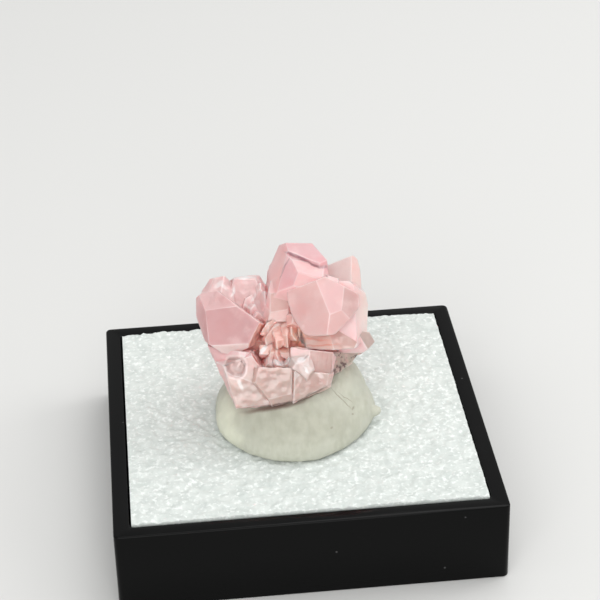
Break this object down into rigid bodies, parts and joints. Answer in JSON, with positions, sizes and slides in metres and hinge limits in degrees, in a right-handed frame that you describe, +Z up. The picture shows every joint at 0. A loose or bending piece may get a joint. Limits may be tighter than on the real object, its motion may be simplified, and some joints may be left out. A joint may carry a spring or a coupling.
{
  "type": "mineral specimen",
  "caption": "Cluster of pink translucent calcite crystals pressed into a putty pad on the white foam of a small square black display box base.",
  "frame": {"origin": "middle of the box base's underside", "axes": "+Z up out of the box, +X to the right along its front, -Y towards the viewer of the display face"},
  "size_m": [0.0318, 0.0318, 0.0208],
  "materials": {
    "box_plastic": "black, polished",
    "foam": "white, rough cut foam",
    "putty": "off-white, kneaded",
    "calcite": "pink, glassy and translucent"
  },
  "bodies": {
    "root": {"box_base": "box_plastic", "foam_insert": "foam", "mounting_putty": "putty", "calcite_cluster": "calcite"}
  },
  "joints": []
}
